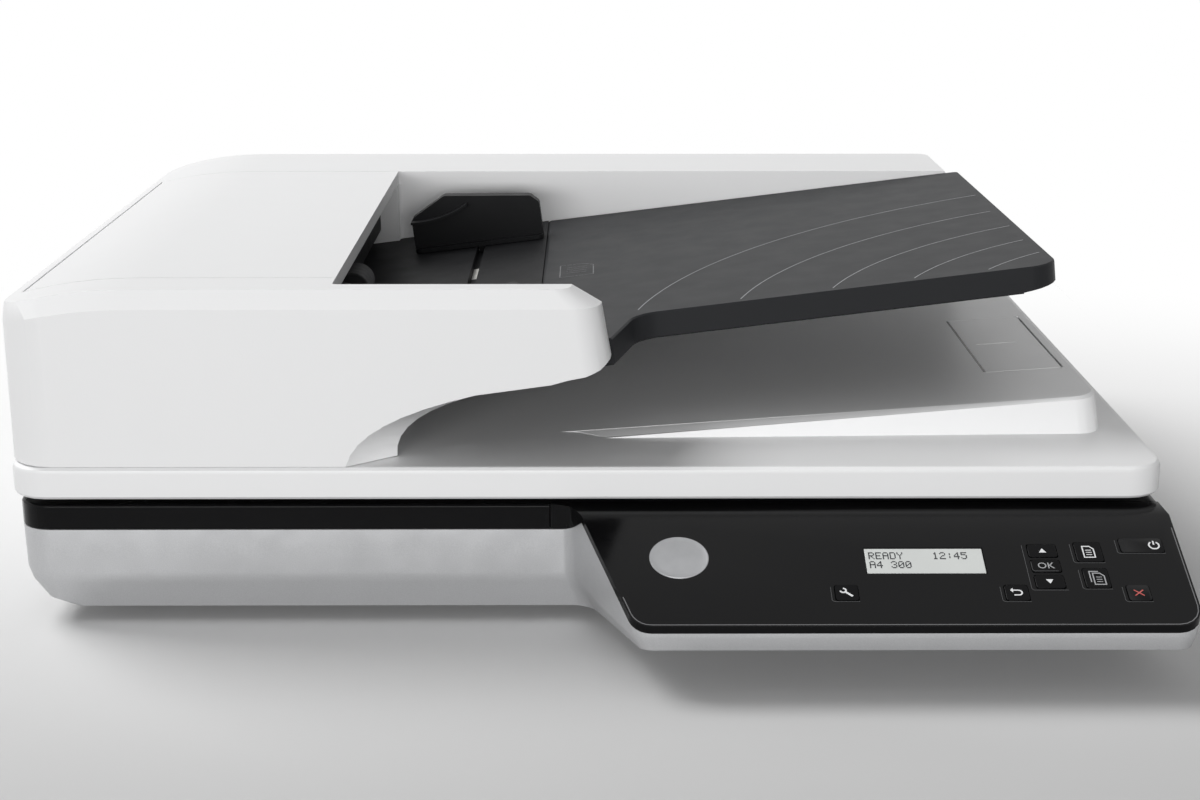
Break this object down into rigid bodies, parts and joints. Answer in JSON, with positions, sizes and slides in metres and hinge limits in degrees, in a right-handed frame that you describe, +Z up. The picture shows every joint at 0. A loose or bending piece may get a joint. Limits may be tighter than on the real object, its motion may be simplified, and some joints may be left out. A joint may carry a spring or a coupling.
{
  "type": "flatbed scanner",
  "caption": "Office flatbed scanner with a hinged lid, a sheet feeder with a tilting input tray over an output platform, and a sloping control panel.",
  "frame": {"origin": "on the desk, under the middle of the whole object", "axes": "+Z up, +X to the object's right as its user faces it, +Y away from the user, towards the hinges"},
  "size_m": [0.476, 0.436, 0.1449],
  "materials": {
    "white_shell": "fine matt moulded white",
    "silver_shell": "satin silver-grey",
    "gloss_black": "glossy black",
    "matt_black": "matt black",
    "tray_grey": "fine matt dark grey",
    "glass": "clear float glass",
    "display": "pale liquid-crystal window",
    "key_black": "soft black keycap",
    "rubber": "soft rubber",
    "steel": "drawn steel",
    "gear_white": "natural acetal",
    "foam_white": "white-faced foam",
    "board_green": "green circuit board"
  },
  "bodies": {
    "base": {"lower_housing": "silver_shell", "top_bezel": "gloss_black", "control_panel": "gloss_black", "display_window": "display", "display_module": "matt_black", "control_board": "board_green", "platen_glass": "glass", "strip_glass": "glass", "foot_front_left": "rubber", "foot_front_right": "rubber", "foot_back_left": "rubber", "foot_back_right": "rubber", "main_board": "board_green", "usb_port": "steel", "power_jack": "matt_black", "guide_rod": "steel", "drive_motor": "steel", "drive_belt": "rubber", "hinge_base_left": "matt_black", "hinge_base_right": "matt_black", "hinge_pin_left": "steel", "hinge_pin_right": "steel"},
    "lid": {"lid_shell": "white_shell", "lid_liner": "white_shell", "platen_pad": "foam_white", "strip_presser": "foam_white", "hinge_arm_left": "steel", "hinge_arm_right": "steel", "feeder_body": "white_shell", "path_chassis": "matt_black", "separator_pad": "rubber", "back_side_sensor": "matt_black", "feeder_motor": "steel", "inner_tray": "matt_black"},
    "carriage": {"scan_carriage": "matt_black", "light_bar": "glass"},
    "idler": {"idler_pulley": "gear_white"},
    "drive_pulley": {"motor_pulley": "gear_white"},
    "key_settings": {"key_settings": "key_black"},
    "key_back": {"key_back": "key_black"},
    "key_up": {"key_up": "key_black"},
    "key_ok": {"key_ok": "key_black"},
    "key_down": {"key_down": "key_black"},
    "key_document": {"key_document": "key_black"},
    "key_copies": {"key_copies": "key_black"},
    "key_power": {"key_power": "key_black"},
    "key_cancel": {"key_cancel": "key_black"},
    "feeder_cover": {"feeder_cover": "white_shell"},
    "input_tray": {"input_tray": "tray_grey"},
    "tray_extension": {"tray_extension": "tray_grey"},
    "guide_back": {"guide_back": "matt_black"},
    "guide_front": {"guide_front": "matt_black"},
    "guide_pinion": {"guide_pinion": "gear_white"},
    "paper_stop": {"paper_stop": "white_shell"},
    "turn_roller": {"turn_roller": "rubber"},
    "feed_roller": {"feed_roller": "rubber"},
    "exit_roller": {"exit_roller": "rubber"},
    "pick_arm": {"pick_arm": "matt_black"},
    "pick_roller": {"pick_roller": "rubber"}
  },
  "joints": [
    {"name": "lid_hinge", "type": "hinge", "parent": "base", "child": "lid", "pos_m": [0, 0.212, 0.058], "axis": [-1, 0, 0], "range_deg": [0, 80]},
    {"name": "carriage_slide", "type": "slide", "parent": "base", "child": "carriage", "axis": [1, 0, 0], "range_m": [0, 0.33]},
    {"name": "drive_pulley_spin", "type": "hinge", "parent": "base", "child": "drive_pulley", "pos_m": [0.159, 0.0095, 0.0204], "axis": [0, 0, 1], "range_deg": [-40, 2460]},
    {"name": "idler_spin", "type": "hinge", "parent": "base", "child": "idler", "pos_m": [-0.212, 0.0095, 0.0204], "axis": [0, 0, 1], "range_deg": [-40, 2460]},
    {"name": "key_settings_press", "type": "slide", "parent": "base", "child": "key_settings", "axis": [0, 0.3939, -0.9191], "range_m": [0, 0.0008], "stiffness_N_per_m": 400, "springref_m": -0.0012},
    {"name": "key_back_press", "type": "slide", "parent": "base", "child": "key_back", "axis": [0, 0.3939, -0.9191], "range_m": [0, 0.0008], "stiffness_N_per_m": 400, "springref_m": -0.0012},
    {"name": "key_up_press", "type": "slide", "parent": "base", "child": "key_up", "axis": [0, 0.3939, -0.9191], "range_m": [0, 0.0008], "stiffness_N_per_m": 400, "springref_m": -0.0012},
    {"name": "key_ok_press", "type": "slide", "parent": "base", "child": "key_ok", "axis": [0, 0.3939, -0.9191], "range_m": [0, 0.0008], "stiffness_N_per_m": 400, "springref_m": -0.0012},
    {"name": "key_down_press", "type": "slide", "parent": "base", "child": "key_down", "axis": [0, 0.3939, -0.9191], "range_m": [0, 0.0008], "stiffness_N_per_m": 400, "springref_m": -0.0012},
    {"name": "key_document_press", "type": "slide", "parent": "base", "child": "key_document", "axis": [0, 0.3939, -0.9191], "range_m": [0, 0.0008], "stiffness_N_per_m": 400, "springref_m": -0.0012},
    {"name": "key_copies_press", "type": "slide", "parent": "base", "child": "key_copies", "axis": [0, 0.3939, -0.9191], "range_m": [0, 0.0008], "stiffness_N_per_m": 400, "springref_m": -0.0012},
    {"name": "key_power_press", "type": "slide", "parent": "base", "child": "key_power", "axis": [0, 0.3939, -0.9191], "range_m": [0, 0.0008], "stiffness_N_per_m": 400, "springref_m": -0.0012},
    {"name": "key_cancel_press", "type": "slide", "parent": "base", "child": "key_cancel", "axis": [0, 0.3939, -0.9191], "range_m": [0, 0.0008], "stiffness_N_per_m": 400, "springref_m": -0.0012},
    {"name": "cover_hinge", "type": "hinge", "parent": "lid", "child": "feeder_cover", "pos_m": [-0.2303, 0.0109, 0.13799], "axis": [0, -1, 0], "range_deg": [0, 75]},
    {"name": "input_tray_hinge", "type": "hinge", "parent": "lid", "child": "input_tray", "pos_m": [-0.0193, 0.0049, 0.115], "axis": [0, -1, 0], "range_deg": [0, 45]},
    {"name": "extension_slide", "type": "slide", "parent": "input_tray", "child": "tray_extension", "axis": [0.9927, 0, 0.121], "range_m": [0, 0.065]},
    {"name": "guide_back_slide", "type": "slide", "parent": "lid", "child": "guide_back", "axis": [0, 1, 0], "range_m": [-0.0525, 0.0055]},
    {"name": "guide_front_slide", "type": "slide", "parent": "lid", "child": "guide_front", "axis": [0, 1, 0], "range_m": [-0.0055, 0.0525]},
    {"name": "guide_pinion_spin", "type": "hinge", "parent": "lid", "child": "guide_pinion", "pos_m": [-0.06516, -0.0045, 0.10941], "axis": [-0.121, 0, 0.9927], "range_deg": [-540, 100]},
    {"name": "paper_stop_hinge", "type": "hinge", "parent": "lid", "child": "paper_stop", "pos_m": [0.2145, -0.0045, 0.0865], "axis": [0, 1, 0], "range_deg": [0, 95]},
    {"name": "turn_roller_spin", "type": "hinge", "parent": "lid", "child": "turn_roller", "pos_m": [-0.2, 0.011, 0.1018], "axis": [0, 1, 0], "continuous": true},
    {"name": "feed_roller_spin", "type": "hinge", "parent": "lid", "child": "feed_roller", "pos_m": [-0.1375, 0.011, 0.1223], "axis": [0, 1, 0], "continuous": true},
    {"name": "exit_roller_spin", "type": "hinge", "parent": "lid", "child": "exit_roller", "pos_m": [-0.0915, -0.0045, 0.0816], "axis": [0, 1, 0], "continuous": true},
    {"name": "pick_arm_swing", "type": "hinge", "parent": "lid", "child": "pick_arm", "pos_m": [-0.1375, -0.0045, 0.1223], "axis": [0, -1, 0], "range_deg": [0, 12]},
    {"name": "pick_roller_spin", "type": "hinge", "parent": "pick_arm", "child": "pick_roller", "pos_m": [-0.11, -0.0045, 0.11557], "axis": [0, 1, 0], "continuous": true}
  ],
  "couplings": [
    {"joint": "drive_pulley_spin", "follows": "carriage_slide", "rad_per_m": 126.58},
    {"joint": "idler_spin", "follows": "carriage_slide", "rad_per_m": 126.58},
    {"joint": "guide_front_slide", "follows": "guide_back_slide", "ratio": -1},
    {"joint": "guide_pinion_spin", "follows": "guide_back_slide", "rad_per_m": 156.25},
    {"joint": "feed_roller_spin", "follows": "turn_roller_spin", "ratio": -1},
    {"joint": "pick_roller_spin", "follows": "turn_roller_spin", "ratio": -1.4375},
    {"joint": "exit_roller_spin", "follows": "turn_roller_spin", "ratio": -2.3}
  ]
}
